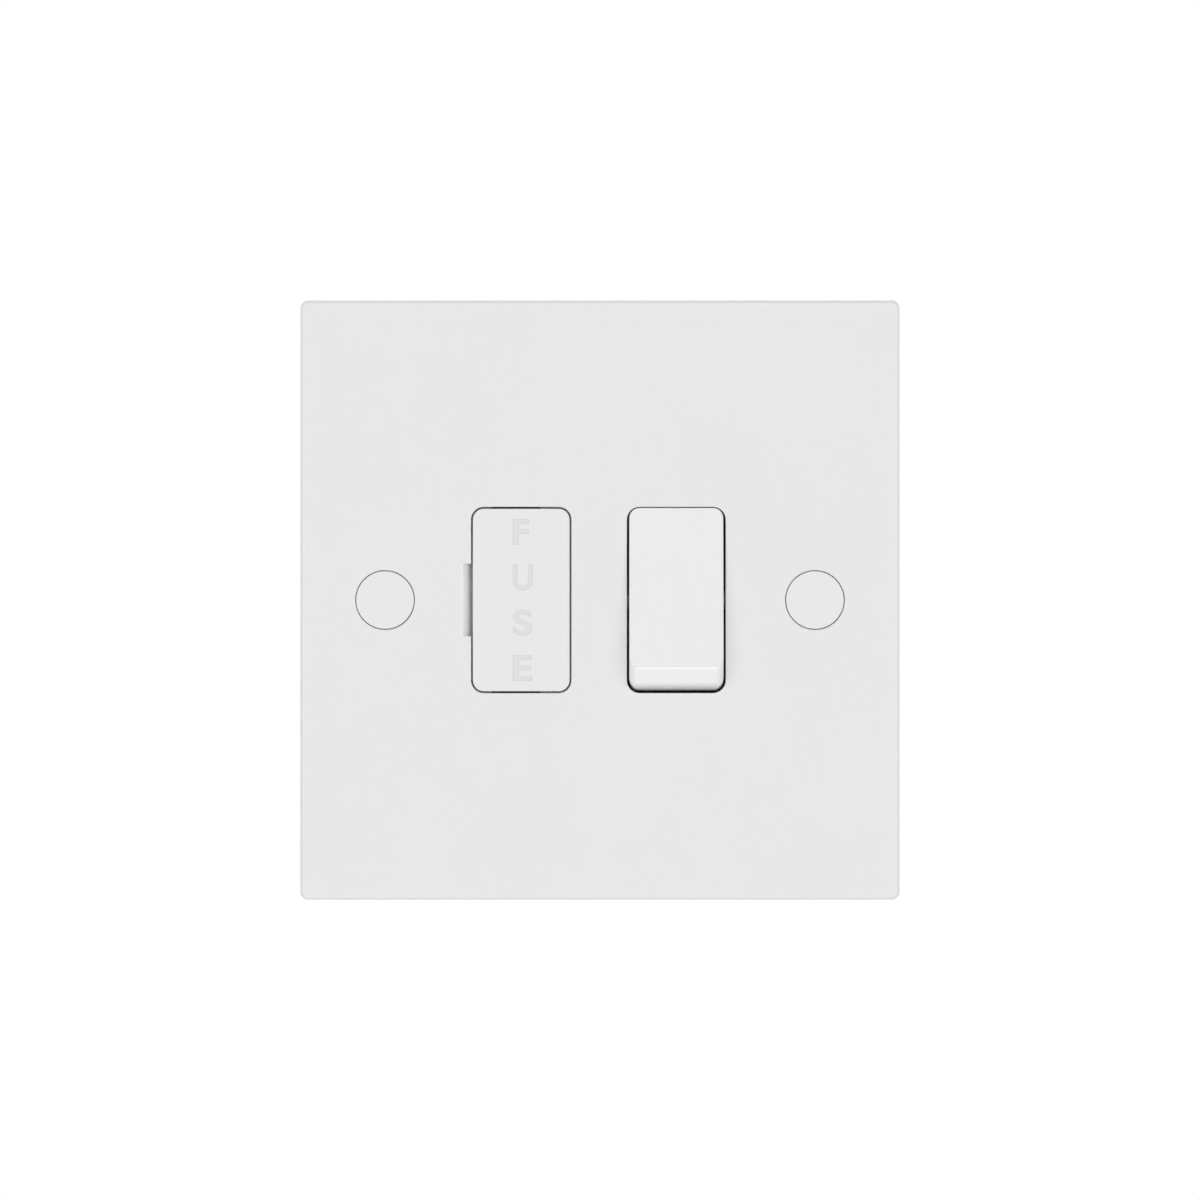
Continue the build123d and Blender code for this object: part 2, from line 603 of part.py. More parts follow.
def fuse_clip(side):
    """Spring clip that grips one cap of the fuse, with a leg down to its strip."""
    inner = FUSE_D / 2 + CLIP_GAP
    neck = FUSE_Y - CLIP_ARM_FRONT
    lip = neck - CLIP_LIP_LENGTH
    outer = inner + CLIP_THICK
    corners = [
        (-inner - CLIP_LIP_FLARE, lip),
        (-inner, neck),
        (-inner, CLIP_INNER_Y),
        (inner, CLIP_INNER_Y),
        (inner, neck),
        (inner + CLIP_LIP_FLARE, lip),
        (outer + CLIP_LIP_FLARE, lip),
        (outer, neck),
        (outer, CLIP_REAR_Y),
        (-outer, CLIP_REAR_Y),
        (-outer, neck),
        (-outer - CLIP_LIP_FLARE, lip),
    ]
    band = make_face(Polyline(*corners, close=True))
    bends = band.vertices().group_by(Axis.Y)
    band = fillet(bends[-1], CLIP_BEND_R + CLIP_THICK)
    seat = band.vertices().filter_by(lambda v: abs(v.Y - CLIP_INNER_Y) < FACE_TOLERANCE)
    band = fillet(seat, CLIP_BEND_R)
    clip = prism_z(Pos(FUSE_X, 0) * band, CLIP_INNER_Z, CLIP_OUTER_Z)
    fold = CLIP_INNER_Z - CLIP_THICK
    clip += slab(column(FUSE_X, CLIP_LEG_WIDTH, fold, CLIP_INNER_Z), CLIP_INNER_Y, STRIP_Y)
    clip += slab(column(FUSE_X, CLIP_LEG_WIDTH, fold, CLIP_OUTER_Z), CLIP_INNER_Y, CLIP_REAR_Y)
    if side > 0:
        return clip
    return mirror(clip, Plane.XY)


def terminal(x, side):
    """Pillar terminal: brass block with a blind wire hole and a tapped clamping hole."""
    half = TERMINAL_WIDTH / 2
    block = slab(rect(x - half, x + half, TERMINAL_Z, TERMINAL_END_Z), TERMINAL_FRONT_Y, TERMINAL_REAR_Y)
    block = chamfer(block.edges().filter_by(Axis.Z), TERMINAL_CHAMFER)
    block -= bar_z(x, WIRE_BORE_Y, TERMINAL_END_Z - WIRE_BORE_DEPTH, TERMINAL_END_Z, WIRE_BORE_R)
    tapped = CLAMP_SCREW_D / 2 + CLAMP_SCREW_CLEARANCE
    block -= slab(disc(x, TERMINAL_MID_Z, tapped), WIRE_BORE_Y, TERMINAL_REAR_Y)
    if side > 0:
        return block
    return mirror(block, Plane.XY)


def slotted_head(x, z, start_y, height, diameter):
    """Pan head with a slot, facing the rear."""
    head = slab(disc(x, z, diameter / 2), start_y, start_y + height)
    head = fillet(head.faces().sort_by(Axis.Y)[-1].edges(), HEAD_EDGE_R)
    end = start_y + height
    half = SLOT_WIDTH / 2
    return head - slab(rect(x - half, x + half, z - diameter, z + diameter), end - SLOT_DEPTH, end)


def clamp_screw(x, z):
    """Terminal screw, backed out so that the wire hole is free."""
    shank = slab(disc(x, z, CLAMP_SCREW_D / 2), CLAMP_TIP_Y, CLAMP_HEAD_Y)
    return shank + slotted_head(x, z, CLAMP_HEAD_Y, CLAMP_HEAD_HEIGHT, CLAMP_HEAD_D)


def base_screw(x, z):
    """Self-tapping screw from the rear of the base into a boss of the plate."""
    shank = slab(disc(x, z, BASE_SCREW_D / 2), PILOT_Y + BASE_SCREW_TIP_GAP, SCREW_HEAD_Y)
    return shank + slotted_head(x, z, SCREW_HEAD_Y, BASE_SCREW_HEAD_HEIGHT, BASE_SCREW_HEAD_D)


def rear_base():
    """Moulded base: cells open to the front, terminal bays open to the rear and the ends."""
    outline = RectangleRounded(2 * BASE_HALF_WIDTH, 2 * BASE_HALF_HEIGHT, BASE_CORNER_R)
    base = slab(outline, BASE_FRONT_Y, BASE_REAR_Y)
    base = fillet(base.faces().sort_by(Axis.Y)[-1].edges(), BASE_EDGE_R)
    field = rect(-BASE_HALF_WIDTH, BASE_HALF_WIDTH, -OPENING_HALF, OPENING_HALF)
    base -= slab(field, FLOOR_Y + BASE_FLOOR, BASE_REAR_Y)
    for left, right in (LEFT_CELL, FUSE_CELL, MIDDLE_CELL, SWITCH_CELL, RIGHT_CELL):
        base -= slab(rect(left, right, -OPENING_HALF, OPENING_HALF), BASE_FRONT_Y, FLOOR_Y)

    core_left = BAY_HALF_WIDTH + BAY_RIB
    core_right = TERMINAL_PITCH - BAY_HALF_WIDTH - BAY_RIB
    core_low = BAY_Z + BAY_RIB
    core_high = BASE_HALF_HEIGHT - BAY_RIB
    for side in (-1, 1):
        for x in TERMINAL_ROW:
            ends = sorted((side * BAY_Z, side * (BASE_HALF_HEIGHT + BASE_LIP)))
            bay = rect(x - BAY_HALF_WIDTH, x + BAY_HALF_WIDTH, *ends)
            base -= slab(bay, TERMINAL_FRONT_Y, BASE_REAR_Y)
            ends = sorted((side * core_low, side * core_high))
            lightening = rect(x - BAY_HALF_WIDTH, x + BAY_HALF_WIDTH, *ends)
            base -= slab(lightening, BASE_FRONT_Y, TERMINAL_FRONT_Y - BAY_FLOOR)
    for x, z in screw_sites():
        wide = sorted((math.copysign(core_left, x), math.copysign(core_right, x)))
        tall = sorted((math.copysign(core_low, z), math.copysign(core_high, z)))
        core = rect(*wide, *tall) - disc(x, z, BASE_BOSS_R)
        base -= slab(core, BASE_FRONT_Y, SCREW_HEAD_Y - BAY_RIB)
        base -= slab(disc(x, z, BASE_SCREW_D / 2 + BASE_SCREW_HOLE_GAP), BASE_FRONT_Y, BASE_REAR_Y)
        base -= slab(disc(x, z, BASE_SCREW_HEAD_D / 2 + BASE_SCREW_HEAD_GAP), SCREW_HEAD_Y, BASE_REAR_Y)

    barrier = column(ROCKER_X, BARRIER_THICK, -OPENING_HALF, OPENING_HALF)
    base += slab(barrier, FLOOR_Y - BARRIER_HEIGHT, FLOOR_Y)
    stop_top = STOP_INSET - CONTACT_LOWER
    drop = -stop_top + STOP_WIDTH
    stop_y = CONTACT_AXIS_Y - KNIFE_STANDOFF + drop * math.tan(math.radians(CONTACT_TILT)) + STOP_GAP
    base += slab(rect(*SWITCH_CELL, stop_top - STOP_WIDTH, stop_top), stop_y, FLOOR_Y)
    for side in (-1, 1):
        ends = sorted((side * (CLIP_INNER_Z + CLIP_PAD + PEDESTAL_GAP), side * CLIP_OUTER_Z))
        half = PEDESTAL_WIDTH / 2
        base += slab(rect(FUSE_X - half, FUSE_X + half, *ends), CLIP_REAR_Y, FLOOR_Y)
        wall = sorted((side * (ROCKER_OPENING_WIDTH / 2), side * (ROCKER_OPENING_WIDTH / 2 + COLLAR_WALL)))
        tongue_half = PIN_BORE_R - TONGUE_SIDE_GAP
        tongue = rect(ROCKER_X + wall[0], ROCKER_X + wall[1], -tongue_half, tongue_half)
        base += slab(tongue, PIVOT_Y + TONGUE_BACKSET, BASE_FRONT_Y + COLLAR_WALL)
        base -= bar_x(ROCKER_X + wall[0], ROCKER_X + wall[1], PIVOT_Y, 0, PIN_BORE_R)
        relief = disc(side * FIXING_X, 0, PILLAR_R + LUG_RELIEF_GAP)
        base -= slab(relief, BASE_FRONT_Y, BASE_REAR_Y)

    for run in (supply_live_run(), supply_neutral_run(), live_link_run(), load_live_run()):
        base -= slab(offset(run, STRIP_SIDE_GAP, kind=Kind.INTERSECTION), STRIP_Y - STRIP_TOP_GAP, FLOOR_Y)
    for run in (load_neutral_run(), earth_run()):
        base -= slab(offset(run, STRIP_SIDE_GAP, kind=Kind.INTERSECTION), STRIP_Y - STRIP_TOP_GAP, FLOOR_Y)
    return base


terminal_screws = []
for row_x in TERMINAL_ROW:
    terminal_screws.append(clamp_screw(row_x, TERMINAL_MID_Z))
    terminal_screws.append(clamp_screw(row_x, -TERMINAL_MID_Z))

NODES = {
    "front_plate": front_plate(),
    "rear_base": rear_base(),
    "screw_cover_left": screw_cover(-FIXING_X),
    "screw_cover_right": screw_cover(FIXING_X),
    "fuse_carrier": fuse_carrier(),
    "fuse_body": fuse_body(),
    "fuse_cap_upper": fuse_cap(1),
    "fuse_cap_lower": fuse_cap(-1),
    "fuse_clip_upper": fuse_clip(1),
    "fuse_clip_lower": fuse_clip(-1),
    "rocker": rocker(),
    "plunger_live": plunger(-POLE_OFFSET),
    "plunger_neutral": plunger(POLE_OFFSET),
    "plunger_spring_live": plunger_spring(-POLE_OFFSET),
    "plunger_spring_neutral": plunger_spring(POLE_OFFSET),
    "moving_contact_live": moving_contact(LIVE_X),
    "moving_contact_neutral": moving_contact(NEUTRAL_X),
    "moving_tip_live": moving_tip(LIVE_X),
    "moving_tip_neutral": moving_tip(NEUTRAL_X),
    "fixed_tip_live": fixed_tip(LIVE_X),
    "fixed_tip_neutral": fixed_tip(NEUTRAL_X),
    "supply_live_strip": strip(supply_live_run()),
    "supply_neutral_strip": strip(supply_neutral_run()),
    "live_link_strip": strip(live_link_run()) + knife_edge(LIVE_X),
    "load_live_strip": strip(load_live_run()),
    "load_neutral_strip": strip(load_neutral_run()) + knife_edge(NEUTRAL_X),
    "earth_strap": strip(earth_run()),
    "supply_earth_terminal": terminal(-TERMINAL_PITCH, 1),
    "supply_live_terminal": terminal(0, 1),
    "supply_neutral_terminal": terminal(TERMINAL_PITCH, 1),
    "load_earth_terminal": terminal(-TERMINAL_PITCH, -1),
    "load_live_terminal": terminal(0, -1),
    "load_neutral_terminal": terminal(TERMINAL_PITCH, -1),
    "terminal_screws": Compound(terminal_screws),
    "base_screws": Compound([base_screw(x, z) for x, z in screw_sites()]),
}

os.makedirs("parts", exist_ok=True)
for name, shape in NODES.items():
    export_step(shape, "parts/" + name + ".step")
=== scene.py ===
"""Dress of the switched fused spur unit: finishes, cut word, rounded ridge, springs, threads and studio."""
import logging
import math
from collections.abc import Iterable
from dataclasses import dataclass
from enum import Enum
from functools import cache

import bmesh
import bpy
from mathutils import Matrix, Vector


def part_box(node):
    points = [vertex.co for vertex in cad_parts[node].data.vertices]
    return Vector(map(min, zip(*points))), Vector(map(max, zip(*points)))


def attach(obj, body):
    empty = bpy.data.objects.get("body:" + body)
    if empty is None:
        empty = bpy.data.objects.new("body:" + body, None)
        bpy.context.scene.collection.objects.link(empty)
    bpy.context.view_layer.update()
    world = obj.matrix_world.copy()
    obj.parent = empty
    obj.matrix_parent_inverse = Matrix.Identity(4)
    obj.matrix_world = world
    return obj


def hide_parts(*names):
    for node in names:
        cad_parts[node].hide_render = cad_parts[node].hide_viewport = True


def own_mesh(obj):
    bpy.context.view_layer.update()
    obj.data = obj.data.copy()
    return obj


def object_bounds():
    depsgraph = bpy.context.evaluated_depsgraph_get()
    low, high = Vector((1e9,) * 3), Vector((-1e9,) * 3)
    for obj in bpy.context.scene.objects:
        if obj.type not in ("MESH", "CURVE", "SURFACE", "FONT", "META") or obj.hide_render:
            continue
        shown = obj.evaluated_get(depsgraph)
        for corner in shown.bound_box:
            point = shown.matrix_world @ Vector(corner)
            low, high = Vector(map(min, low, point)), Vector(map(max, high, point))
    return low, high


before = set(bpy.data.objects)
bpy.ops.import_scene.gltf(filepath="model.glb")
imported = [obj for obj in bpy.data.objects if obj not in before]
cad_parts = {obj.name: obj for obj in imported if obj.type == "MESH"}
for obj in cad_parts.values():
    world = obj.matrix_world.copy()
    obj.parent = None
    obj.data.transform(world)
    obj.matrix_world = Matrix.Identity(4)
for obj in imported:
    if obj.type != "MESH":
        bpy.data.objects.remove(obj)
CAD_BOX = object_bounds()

LOG = logging.getLogger("fused_spur_unit")
MM = 0.001
MERGE_GAP = 0.0002 * MM
WELD_GAP = 0.0005 * MM
BROKEN_EDGE_TURN = math.radians(50)
SHARP_EDGE_TURN = math.radians(35)
WHITE = "#FFFFFF"

Socket = bpy.types.NodeSocket
Material = bpy.types.Material
Object = bpy.types.Object


class Body(Enum):
    """Bodies of the frame that a new piece can ride on."""

    UNIT = "unit"
    CARRIER = "carrier"
    ROCKER = "rocker"


class Working(Enum):
    """How a metal piece got its surface: the marks' fineness along X, Y and Z, where one is full."""

    PRESSED = (1.0, 1.0, 0.08)
    TURNED = (1.0, 0.06, 1.0)
    PLATED = (1.0, 1.0, 1.0)


def linear(colour: str) -> tuple[float, float, float, float]:
    """Turn an sRGB hex colour into linear light.

    Args:
        colour: Six hex digits, with or without a leading hash.

    Returns:
        Red, green, blue and an alpha of one.
    """
    digits = colour.lstrip("#")
    channels = [int(digits[i:i + 2], 16) / 255 for i in (0, 2, 4)]
    red, green, blue = [c / 12.92 if c <= 0.04045 else ((c + 0.055) / 1.055) ** 2.4 for c in channels]
    return red, green, blue, 1.0


def add_node(
    tree: bpy.types.NodeTree, kind: str, values: dict[str | int, object], **settings: object
) -> bpy.types.Node:
    """Add one node with its settings, values and links.

    Args:
        tree: Node tree that gets the node.
        kind: Blender's name of the node type.
        values: Input name or number to a plain value, or to the output socket that feeds it.
        settings: Attributes of the node itself.

    Returns:
        The new node.
    """
    node = tree.nodes.new(kind)
    for name, value in settings.items():
        setattr(node, name, value)
    for name, value in values.items():
        if isinstance(value, Socket):
            tree.links.new(value, node.inputs[name])
        else:
            node.inputs[name].default_value = value
    return node


def new_material(name: str) -> tuple[Material, bpy.types.NodeTree, bpy.types.Node]:
    """Start a material.

    Args:
        name: Name of the finish.

    Returns:
        The material, its node tree and its Principled shader.
    """
    material = bpy.data.materials.new(name)
    material.use_nodes = True
    return material, material.node_tree, material.node_tree.nodes["Principled BSDF"]


@dataclass(frozen=True)
class MouldedPlastic:
    """Moulded plastic: a faint clouding from the flow of the melt and a fine spark-eroded grain.

    The grain is drawn several times as coarse as a real one, which would be too fine to show.
    """

    name: str
    colour: str
    cloud_colour: str
    roughness: float
    ior: float
    cloud_mm: float
    grain_mm: float
    grain_depth_mm: float
    cloud_detail: float = 2.0
    cloud_breakup: float = 0.45
    grain_detail: float = 3.0
    grain_breakup: float = 0.6
    grain_strength: float = 0.35
    gloss_spread: float = 0.04

    @cache
    def material(self) -> Material:
        """Build the finish, once.

        Returns:
            A node material.
        """
        material, tree, shader = new_material(self.name)
        place = add_node(tree, "ShaderNodeTexCoord", {}).outputs["Object"]
        cloud = add_node(
            tree, "ShaderNodeTexNoise",
            {"Vector": place, "Scale": 1 / (self.cloud_mm * MM),
             "Detail": self.cloud_detail, "Roughness": self.cloud_breakup},
        ).outputs["Fac"]
        tint = add_node(
            tree, "ShaderNodeMix",
            {"Factor": cloud, "A": linear(self.colour), "B": linear(self.cloud_colour)},
            data_type="RGBA",
        )
        grain = add_node(
            tree, "ShaderNodeTexNoise",
            {"Vector": place, "Scale": 1 / (self.grain_mm * MM),
             "Detail": self.grain_detail, "Roughness": self.grain_breakup},
        ).outputs["Fac"]
        gloss = add_node(
            tree, "ShaderNodeMapRange",
            {"Value": grain, "To Min": self.roughness - self.gloss_spread,
             "To Max": self.roughness + self.gloss_spread},
        ).outputs["Result"]
        relief = add_node(
            tree, "ShaderNodeBump",
            {"Height": grain, "Strength": self.grain_strength, "Distance": self.grain_depth_mm * MM},
        ).outputs["Normal"]
        tree.links.new(tint.outputs["Result"], shader.inputs["Base Color"])
        tree.links.new(gloss, shader.inputs["Roughness"])
        tree.links.new(relief, shader.inputs["Normal"])
        shader.inputs["IOR"].default_value = self.ior
        return material


@dataclass(frozen=True)
class WorkedMetal:
    """Bare or plated metal with marks that run the way it was worked, and faint tarnish.

    The marks are drawn several times as coarse as real ones, which would be too fine to show.
    """

    name: str
    colour: str
    tarnish: str
    roughness: float
    mark_mm: float
    mark_depth_mm: float
    tarnish_mm: float
    working: Working
    mark_detail: float = 4.0
    mark_breakup: float = 0.65
    mark_strength: float = 0.4
    tarnish_detail: float = 5.0
    tarnish_breakup: float = 0.6
    tarnish_start: float = 0.35
    tarnish_full: float = 0.75
    tarnish_most: float = 0.7
    gloss_smoother: float = 0.08
    gloss_rougher: float = 0.1

    @cache
    def material(self) -> Material:
        """Build the finish, once.

        Returns:
            A node material.
        """
        material, tree, shader = new_material(self.name)
        place = add_node(tree, "ShaderNodeTexCoord", {}).outputs["Object"]
        drawn = add_node(
            tree, "ShaderNodeMapping", {"Vector": place, "Scale": self.working.value},
        ).outputs["Vector"]
        marks = add_node(
            tree, "ShaderNodeTexNoise",
            {"Vector": drawn, "Scale": 1 / (self.mark_mm * MM),
             "Detail": self.mark_detail, "Roughness": self.mark_breakup},
        ).outputs["Fac"]
        bloom = add_node(
            tree, "ShaderNodeTexNoise",
            {"Vector": place, "Scale": 1 / (self.tarnish_mm * MM),
             "Detail": self.tarnish_detail, "Roughness": self.tarnish_breakup},
        ).outputs["Fac"]
        patch = add_node(
            tree, "ShaderNodeMapRange",
            {"Value": bloom, "From Min": self.tarnish_start, "From Max": self.tarnish_full,
             "To Min": 0.0, "To Max": self.tarnish_most},
        ).outputs["Result"]
        tint = add_node(
            tree, "ShaderNodeMix",
            {"Factor": patch, "A": linear(self.colour), "B": linear(self.tarnish)},
            data_type="RGBA",
        )
        gloss = add_node(
            tree, "ShaderNodeMapRange",
            {"Value": marks, "To Min": self.roughness - self.gloss_smoother,
             "To Max": self.roughness + self.gloss_rougher},
        ).outputs["Result"]
        relief = add_node(
            tree, "ShaderNodeBump",
            {"Height": marks, "Strength": self.mark_strength, "Distance": self.mark_depth_mm * MM},
        ).outputs["Normal"]
        tree.links.new(tint.outputs["Result"], shader.inputs["Base Color"])
        tree.links.new(gloss, shader.inputs["Roughness"])
        tree.links.new(relief, shader.inputs["Normal"])
        shader.inputs["Metallic"].default_value = 1.0
        return material


# Urea-formaldehyde, compression moulded in a polished tool: a cool white with a soft sheen.
PLATE_UREA = MouldedPlastic(
    "urea_moulded_white", "#ECECEC", "#EAEAEA", roughness=0.34, ior=1.54,
    cloud_mm=22.0, grain_mm=0.45, grain_depth_mm=0.004,
)
# Polycarbonate, injection moulded: the same white, a touch smoother than the plate.
FITTING_PC = MouldedPlastic(
    "polycarbonate_moulded_white", "#EDEDED", "#EBEBEB", roughness=0.30, ior=1.585,
    cloud_mm=14.0, grain_mm=0.4, grain_depth_mm=0.003,
)
# The same polycarbonate on the spark-eroded floor of the letters, matt. Its colour is greyer than the face
# as painted shade, standing for the shade that falls in the recessed letters.
LETTER_PC_PAINTED_SHADE = MouldedPlastic(
    "polycarbonate_eroded_floor_painted_shade", "#E3E3E3", "#E1E1E1", roughness=0.55, ior=1.585,
    cloud_mm=3.0, grain_mm=0.15, grain_depth_mm=0.006,
)
# Glass-filled nylon, injection moulded: greyer and matt, with fibres that roughen the skin.
BASE_NYLON = MouldedPlastic(
    "nylon_glass_filled_white", "#DEDEDA", "#D5D5D0", roughness=0.55, ior=1.53,
    cloud_mm=6.0, grain_mm=0.5, grain_depth_mm=0.012,
)
# Natural nylon rod: milky and slightly yellow.
PLUNGER_NYLON = MouldedPlastic(
    "nylon_natural", "#E4DFCE", "#DDD7C2", roughness=0.42, ior=1.53,
    cloud_mm=3.0, grain_mm=0.3, grain_depth_mm=0.004,
)
# Steatite ceramic, fired unglazed: chalky, with a fine sandy tooth.
FUSE_STEATITE = MouldedPlastic(
    "steatite_fired_unglazed", "#EAE6DB", "#E2DDCF", roughness=0.62, ior=1.6,
    cloud_mm=2.2, grain_mm=0.25, grain_depth_mm=0.010,
)
# Extruded brass, sawn and drilled: warm yellow with drawing lines along the bar.
TERMINAL_BRASS = WorkedMetal(
    "brass_extruded", "#D8BE84", "#BFA05E", roughness=0.30,
    mark_mm=0.35, mark_depth_mm=0.006, tarnish_mm=4.0, working=Working.PRESSED,
)
# Rolled brass strip, blanked and bent: a duller, darker yellow than the terminals.
STRIP_BRASS = WorkedMetal(
    "brass_rolled_strip", "#D0B67A", "#B29358", roughness=0.34,
    mark_mm=0.30, mark_depth_mm=0.005, tarnish_mm=5.0, working=Working.PRESSED,
)
# Turned brass: a brighter skin than the bar, with fine streaks along the screw.
SCREW_BRASS = WorkedMetal(
    "brass_turned", "#DBC48E", "#C6A86C", roughness=0.26,
    mark_mm=0.25, mark_depth_mm=0.006, tarnish_mm=3.0, working=Working.TURNED,
)
# Phosphor bronze spring strip, rolled hard: redder than brass, with brown patches.
CLIP_BRONZE = WorkedMetal(
    "phosphor_bronze_spring", "#CFA070", "#A97848", roughness=0.32,
    mark_mm=0.30, mark_depth_mm=0.004, tarnish_mm=4.0, working=Working.PRESSED,
)
# Copper, pressed from strip: salmon pink that browns in patches.
LEVER_COPPER = WorkedMetal(
    "copper_pressed", "#D08B68", "#A9664A", roughness=0.33,
    mark_mm=0.30, mark_depth_mm=0.004, tarnish_mm=3.0, working=Working.PRESSED,
)
# Silver alloy, cold headed: almost white, with a soft even gleam.
TIP_SILVER = WorkedMetal(
    "silver_alloy_headed", "#DCDAD4", "#BDB9AF", roughness=0.28,
    mark_mm=0.20, mark_depth_mm=0.003, tarnish_mm=1.5, working=Working.PLATED,
)
# Nickel plate on drawn brass: a warm grey and the clearest reflections of all the metals.
CAP_NICKEL = WorkedMetal(
    "nickel_plated_drawn", "#CFCBC1", "#B9B3A5", roughness=0.22,
    mark_mm=0.30, mark_depth_mm=0.003, tarnish_mm=3.0, working=Working.PRESSED,
)
# Bright zinc plate on steel, passivated: a cool grey with a hint of blue.
SCREW_ZINC = WorkedMetal(
    "zinc_plated_steel", "#C3C7CC", "#A9AEB4", roughness=0.33,
    mark_mm=0.30, mark_depth_mm=0.005, tarnish_mm=2.5, working=Working.PLATED,
)
# Spring steel wire, hard drawn: a darker, even grey.
SPRING_STEEL = WorkedMetal(
    "spring_steel_drawn", "#A9A9AA", "#8B8A88", roughness=0.30,
    mark_mm=0.20, mark_depth_mm=0.003, tarnish_mm=2.0, working=Working.PLATED,
)


def dress(node: str, material: Material) -> None:
    """Give a frame node its finish.

    Args:
        node: Name of the node.
        material: Finish for every face of it.
    """
    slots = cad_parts[node].data.materials
    slots.clear()
    slots.append(material)
    LOG.info("%s: %s", node, material.name)


def soften(node: str, width: float, segments: int) -> None:
    """Break the sharp edges of a frame node, as its mould would.

    Args:
        node: Name of the node.
        width: Width of the broken edge.
        segments: Facets across the edge.
    """
    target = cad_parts[node]
    weld = target.modifiers.new("weld", "WELD")
    weld.merge_threshold = WELD_GAP
    edge = target.modifiers.new("edge", "BEVEL")
    edge.width = width
    edge.segments = segments
    edge.limit_method = "ANGLE"
    edge.angle_limit = BROKEN_EDGE_TURN
    edge.use_clamp_overlap = True
    edge.harden_normals = True


def merged_copy(node: str) -> bmesh.types.BMesh:
    """Copy a frame node's mesh with its loose triangles joined.

    Args:
        node: Name of the node.

    Returns:
        A bmesh in the shared frame.
    """
    copy = bmesh.new()
    copy.from_mesh(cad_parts[node].data)
    bmesh.ops.remove_doubles(copy, verts=copy.verts, dist=MERGE_GAP)
    return copy


def islands(mesh: bmesh.types.BMesh) -> list[list[bmesh.types.BMVert]]:
    """Find the separate solids in a bmesh.

    Args:
        mesh: Merged mesh.

    Returns:
        The vertices of each solid.
    """
    found, seen = [], set()
    for start in mesh.verts:
        if start in seen:
            continue
        seen.add(start)
        group, waiting = [], [start]
        while waiting:
            vert = waiting.pop()
            group.append(vert)
            for link in vert.link_edges:
                other = link.other_vert(vert)
                if other not in seen:
                    seen.add(other)
                    waiting.append(other)
        found.append(group)
    return found


def corners(verts: Iterable[bmesh.types.BMVert]) -> tuple[Vector, Vector]:
    """Find the box round some vertices.

    Args:
        verts: The vertices.

    Returns:
        The box's lowest and highest corner.
    """
    low = Vector(min(v.co[i] for v in verts) for i in range(3))
    high = Vector(max(v.co[i] for v in verts) for i in range(3))
    return low, high


def from_axis(vert: bmesh.types.BMVert, axis: Vector) -> float:
    """Distance of a vertex from a line along Y through a point."""
    return math.hypot(vert.co.x - axis.x, vert.co.z - axis.z)


def new_object(name: str, mesh: bmesh.types.BMesh) -> Object:
    """Turn a bmesh into a linked object at the origin.

    Args:
        name: Name of the piece.
        mesh: Its shape, in the shared frame. It is freed.

    Returns:
        The object.
    """
    data = bpy.data.meshes.new(name)
    mesh.to_mesh(data)
    mesh.free()
    made = bpy.data.objects.new(name, data)
    bpy.context.collection.objects.link(made)
    return made


def smooth(target: Object) -> None:
    """Shade a piece smooth, with flat faces left flat and sharp edges kept.

    Args:
        target: Piece to shade.
    """
    target.data.shade_smooth()
    target.data.set_sharp_from_angle(angle=SHARP_EDGE_TURN)
    weights = target.modifiers.new("weights", "WEIGHTED_NORMAL")
    weights.keep_sharp = True


def baked(target: Object) -> bpy.types.Mesh:
    """Mesh of an object with its modifiers applied.

    Args:
        target: A linked object.

    Returns:
        A new mesh.
    """
    graph = bpy.context.evaluated_depsgraph_get()
    return bpy.data.meshes.new_from_object(target.evaluated_get(graph))


def carve(target: Object, tool: bmesh.types.BMesh, material: Material) -> None:
    """Cut a closed solid out of a piece.

    Args:
        target: Piece that is cut.
        tool: Solid to take away, in the shared frame. It is freed.
        material: Finish of the faces that the cut leaves.
    """
    cutter = new_object("cutter", tool)
    cutter.data.materials.append(material)
    cut = target.modifiers.new("cut", "BOOLEAN")
    cut.operation = "DIFFERENCE"
    cut.solver = "EXACT"
    cut.use_self = True
    cut.material_mode = "TRANSFER"
    cut.object = cutter
    done = baked(target)
    target.modifiers.clear()
    target.data = done
    bpy.data.objects.remove(cutter)


@dataclass
class FrontPlate:
    """Square plate with its two screw covers."""

    plate: str = "front_plate"
    covers: tuple[str, str] = ("screw_cover_left", "screw_cover_right")

    def dress(self) -> None:
        """Finish plate and covers."""
        dress(self.plate, PLATE_UREA.material())
        fitting = FITTING_PC.material()
        for cover in self.covers:
            dress(cover, fitting)


